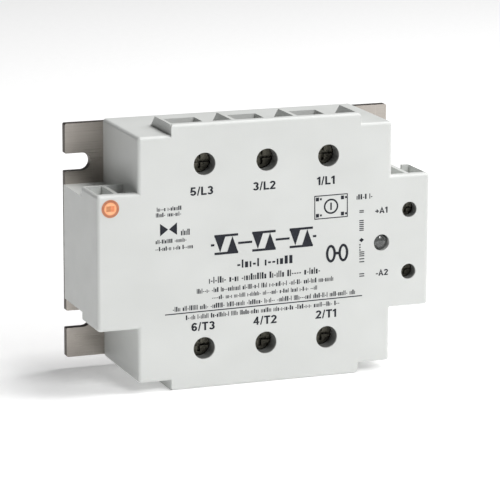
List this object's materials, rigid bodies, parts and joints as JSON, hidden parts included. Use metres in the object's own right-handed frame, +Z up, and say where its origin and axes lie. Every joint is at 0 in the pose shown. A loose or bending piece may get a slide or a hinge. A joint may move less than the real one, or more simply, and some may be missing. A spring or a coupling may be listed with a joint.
{
  "type": "three-phase solid state relay",
  "caption": "Panel-mount solid state relay: grey moulded block on a slotted metal plate, with rising-cage screw clamps for line, load and control wires and a status indicator.",
  "frame": {"origin": "centre of the rear mounting face of the base plate", "axes": "+X to the right seen from the front, towards the control terminals; +Y from the front face into the panel; +Z up, towards the line terminals"},
  "size_m": [0.1044, 0.0351, 0.0794],
  "materials": {
    "housing_plastic": "light grey moulded plastic, fine satin",
    "plate_metal": "plain metal plate, dull nickel-grey",
    "zinc_steel": "bright zinc plating",
    "screw_steel": "black passivated zinc plating",
    "tinned_copper": "tin-plated copper strip",
    "bare_copper": "bare copper",
    "solder_tin": "solder and tinned wire",
    "white_ceramic": "white alumina",
    "silicon": "passivated silicon",
    "potting_compound": "dark cast compound",
    "board_laminate": "green laminate with solder mask",
    "black_package": "moulded black packages",
    "capacitor_case": "yellow film capacitor cases",
    "clamp_coating": "blue dipped coating",
    "clear_led": "water-clear epoxy",
    "sticker_paper": "orange printed paper",
    "print_ink": "near black pad-printed marks"
  },
  "bodies": {
    "relay": {"base_plate": "plate_metal", "board_chips": "black_package", "chip_ends": "solder_tin", "circuit_board": "board_laminate", "control_bar_a1": "tinned_copper", "control_bar_a2": "tinned_copper", "die_straps": "bare_copper", "gate_pins": "solder_tin", "housing": "housing_plastic", "housing_screws": "zinc_steel", "input_rectifier": "black_package", "inspection_sticker": "sticker_paper", "led_leads": "solder_tin", "line_bar_1": "tinned_copper", "line_bar_2": "tinned_copper", "line_bar_3": "tinned_copper", "load_bar_1": "tinned_copper", "load_bar_2": "tinned_copper", "load_bar_3": "tinned_copper", "opto_pins": "solder_tin", "optocouplers": "black_package", "potting": "potting_compound", "power_substrates": "white_ceramic", "snubber_capacitors": "capacitor_case", "solder_layers": "solder_tin", "status_led": "clear_led", "substrate_pads": "bare_copper", "thyristor_dies": "silicon", "voltage_clamps": "clamp_coating"},
    "line_screw_1": {"line_screw_1": "screw_steel"},
    "line_cage_1": {"line_cage_1": "zinc_steel"},
    "line_screw_2": {"line_screw_2": "screw_steel"},
    "line_cage_2": {"line_cage_2": "zinc_steel"},
    "line_screw_3": {"line_screw_3": "screw_steel"},
    "line_cage_3": {"line_cage_3": "zinc_steel"},
    "load_screw_1": {"load_screw_1": "screw_steel"},
    "load_cage_1": {"load_cage_1": "zinc_steel"},
    "load_screw_2": {"load_screw_2": "screw_steel"},
    "load_cage_2": {"load_cage_2": "zinc_steel"},
    "load_screw_3": {"load_screw_3": "screw_steel"},
    "load_cage_3": {"load_cage_3": "zinc_steel"},
    "control_screw_a1": {"control_screw_a1": "screw_steel"},
    "control_cage_a1": {"control_cage_a1": "zinc_steel"},
    "control_screw_a2": {"control_screw_a2": "screw_steel"},
    "control_cage_a2": {"control_cage_a2": "zinc_steel"}
  },
  "joints": [
    {"name": "line_screw_1_turn", "type": "hinge", "parent": "relay", "child": "line_screw_1", "pos_m": [0.0194, -0.025, 0.0276], "axis": [0, 1, 0], "range_deg": [0, 2700]},
    {"name": "line_cage_1_rise", "type": "slide", "parent": "relay", "child": "line_cage_1", "axis": [0, -1, 0], "range_m": [0, 0.006]},
    {"name": "line_screw_2_turn", "type": "hinge", "parent": "relay", "child": "line_screw_2", "pos_m": [0, -0.025, 0.0276], "axis": [0, 1, 0], "range_deg": [0, 2700]},
    {"name": "line_cage_2_rise", "type": "slide", "parent": "relay", "child": "line_cage_2", "axis": [0, -1, 0], "range_m": [0, 0.006]},
    {"name": "line_screw_3_turn", "type": "hinge", "parent": "relay", "child": "line_screw_3", "pos_m": [-0.0194, -0.025, 0.0276], "axis": [0, 1, 0], "range_deg": [0, 2700]},
    {"name": "line_cage_3_rise", "type": "slide", "parent": "relay", "child": "line_cage_3", "axis": [0, -1, 0], "range_m": [0, 0.006]},
    {"name": "load_screw_1_turn", "type": "hinge", "parent": "relay", "child": "load_screw_1", "pos_m": [0.0194, -0.025, -0.0276], "axis": [0, 1, 0], "range_deg": [0, 2700]},
    {"name": "load_cage_1_rise", "type": "slide", "parent": "relay", "child": "load_cage_1", "axis": [0, -1, 0], "range_m": [0, 0.006]},
    {"name": "load_screw_2_turn", "type": "hinge", "parent": "relay", "child": "load_screw_2", "pos_m": [0, -0.025, -0.0276], "axis": [0, 1, 0], "range_deg": [0, 2700]},
    {"name": "load_cage_2_rise", "type": "slide", "parent": "relay", "child": "load_cage_2", "axis": [0, -1, 0], "range_m": [0, 0.006]},
    {"name": "load_screw_3_turn", "type": "hinge", "parent": "relay", "child": "load_screw_3", "pos_m": [-0.0194, -0.025, -0.0276], "axis": [0, 1, 0], "range_deg": [0, 2700]},
    {"name": "load_cage_3_rise", "type": "slide", "parent": "relay", "child": "load_cage_3", "axis": [0, -1, 0], "range_m": [0, 0.006]},
    {"name": "control_screw_a1_turn", "type": "hinge", "parent": "relay", "child": "control_screw_a1", "pos_m": [0.0457, -0.028, 0.0095], "axis": [0, 1, 0], "range_deg": [0, 2880]},
    {"name": "control_cage_a1_rise", "type": "slide", "parent": "relay", "child": "control_cage_a1", "axis": [0, -1, 0], "range_m": [0, 0.004]},
    {"name": "control_screw_a2_turn", "type": "hinge", "parent": "relay", "child": "control_screw_a2", "pos_m": [0.0457, -0.028, -0.0095], "axis": [0, 1, 0], "range_deg": [0, 2880]},
    {"name": "control_cage_a2_rise", "type": "slide", "parent": "relay", "child": "control_cage_a2", "axis": [0, -1, 0], "range_m": [0, 0.004]}
  ],
  "couplings": [
    {"joint": "line_screw_1_turn", "follows": "line_cage_1_rise", "rad_per_m": 7854},
    {"joint": "line_screw_2_turn", "follows": "line_cage_2_rise", "rad_per_m": 7854},
    {"joint": "line_screw_3_turn", "follows": "line_cage_3_rise", "rad_per_m": 7854},
    {"joint": "load_screw_1_turn", "follows": "load_cage_1_rise", "rad_per_m": 7854},
    {"joint": "load_screw_2_turn", "follows": "load_cage_2_rise", "rad_per_m": 7854},
    {"joint": "load_screw_3_turn", "follows": "load_cage_3_rise", "rad_per_m": 7854},
    {"joint": "control_screw_a1_turn", "follows": "control_cage_a1_rise", "rad_per_m": 12566},
    {"joint": "control_screw_a2_turn", "follows": "control_cage_a2_rise", "rad_per_m": 12566}
  ]
}
